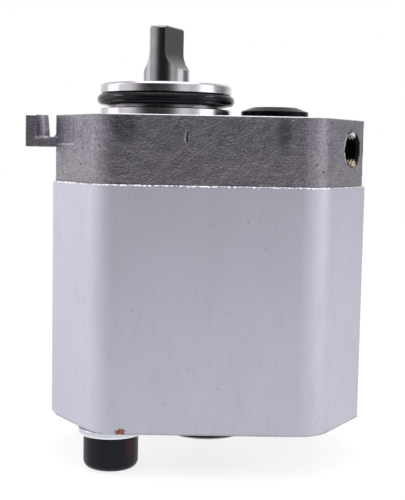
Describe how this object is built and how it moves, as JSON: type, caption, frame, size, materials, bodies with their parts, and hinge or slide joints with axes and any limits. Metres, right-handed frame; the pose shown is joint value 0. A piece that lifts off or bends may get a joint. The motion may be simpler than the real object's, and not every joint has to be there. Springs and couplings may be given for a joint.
{
  "type": "hydraulic gear pump",
  "caption": "External gear pump with a cast front cover, round pilot, tang drive shaft, eight-sided aluminium body, meshed gears inside and plugged ports.",
  "frame": {"origin": "on the drive shaft's axis, in the mounting face of the front cover", "axes": "+Z out along the drive shaft, +X from the drive gear to the driven gear, -Y towards the suction side"},
  "size_m": [0.1019, 0.068, 0.1295],
  "materials": {
    "cast_iron": "as cast, with machined pilot",
    "aluminium": "satin, extruded",
    "steel": "ground",
    "bronze": "plain bearing lining",
    "rubber": "oiled",
    "backup_plastic": "moulded",
    "black_steel": "black oxide",
    "zinc": "bright zinc",
    "black_plastic": "moulded"
  },
  "bodies": {
    "housing": {"front_cover": "cast_iron", "pump_body": "aluminium", "front_bearing_block": "aluminium", "rear_bearing_block": "aluminium", "front_drive_bush": "bronze", "front_driven_bush": "bronze", "rear_drive_bush": "bronze", "rear_driven_bush": "bronze", "front_pressure_seal": "rubber", "rear_pressure_seal": "rubber", "front_seal_backup": "backup_plastic", "rear_seal_backup": "backup_plastic", "cover_seal": "rubber", "spigot_o_ring": "rubber", "shaft_seal": "rubber", "seal_spring": "steel", "seal_retaining_ring": "steel", "cap_screw_a": "black_steel", "cap_screw_b": "black_steel", "washer_a": "zinc", "washer_b": "zinc", "dowel_a": "steel", "dowel_b": "steel", "pressure_plug": "black_plastic", "suction_plug": "black_plastic"},
    "drive_shaft": {"drive_gear": "steel"},
    "idler_shaft": {"driven_gear": "steel"}
  },
  "joints": [
    {"name": "drive_spin", "type": "hinge", "parent": "housing", "child": "drive_shaft", "pos_m": [0, 0, 0], "axis": [0, 0, 1], "continuous": true},
    {"name": "idler_spin", "type": "hinge", "parent": "housing", "child": "idler_shaft", "pos_m": [0.027, 0, 0], "axis": [0, 0, 1], "continuous": true}
  ],
  "couplings": [
    {"joint": "idler_spin", "follows": "drive_spin", "ratio": -1}
  ]
}
